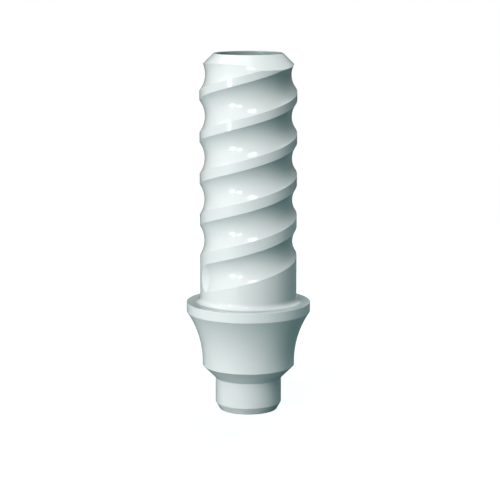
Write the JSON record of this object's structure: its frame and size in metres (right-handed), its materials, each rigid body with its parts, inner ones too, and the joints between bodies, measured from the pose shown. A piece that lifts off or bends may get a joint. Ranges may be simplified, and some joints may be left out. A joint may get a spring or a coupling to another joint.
{
  "type": "temporary cementing post",
  "caption": "White plastic temporary post with a helically grooved shaft, a flared collar and a plain pin, with a stepped screw channel through it.",
  "frame": {"origin": "centre of the pin's lower end, on the axis", "axes": "+Z along the axis, from the pin up to the rim; -Y is the side that the picture shows"},
  "size_m": [0.0044, 0.0044, 0.013],
  "materials": {
    "post_plastic": "smooth turned surface with a soft gloss"
  },
  "bodies": {
    "root": {"cementing_post": "post_plastic"}
  },
  "joints": []
}
